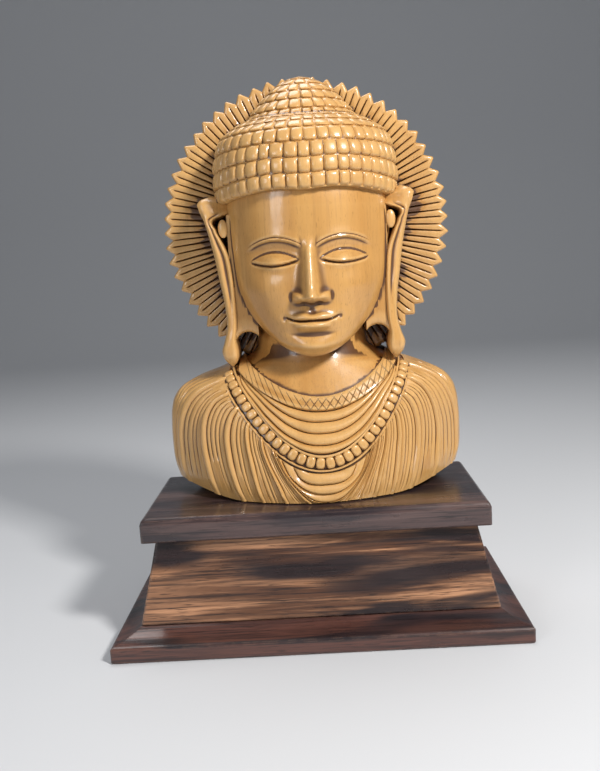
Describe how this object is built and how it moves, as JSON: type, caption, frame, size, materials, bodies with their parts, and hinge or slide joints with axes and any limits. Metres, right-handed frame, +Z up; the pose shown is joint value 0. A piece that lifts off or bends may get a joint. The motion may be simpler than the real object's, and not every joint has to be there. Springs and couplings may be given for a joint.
{
  "type": "carved wooden bust",
  "caption": "Carved wooden bust of a calm figure with a cap of curls, long ears, a bead necklace and a rayed halo, on a stepped rosewood stand.",
  "frame": {"origin": "middle of the stand's underside", "axes": "+Z up, the face looks towards -Y, +X is the viewer's right when facing it"},
  "size_m": [0.194, 0.1112, 0.2671],
  "materials": {
    "pale_wood": "gloss lacquer over fine straight grain",
    "slab_rosewood": "semi-gloss polish",
    "block_rosewood": "semi-gloss polish",
    "moulding_rosewood": "semi-gloss polish, worn edges"
  },
  "bodies": {
    "root": {"bust": "pale_wood", "top_slab": "slab_rosewood", "tapered_block": "block_rosewood", "bottom_moulding": "moulding_rosewood"}
  },
  "joints": []
}
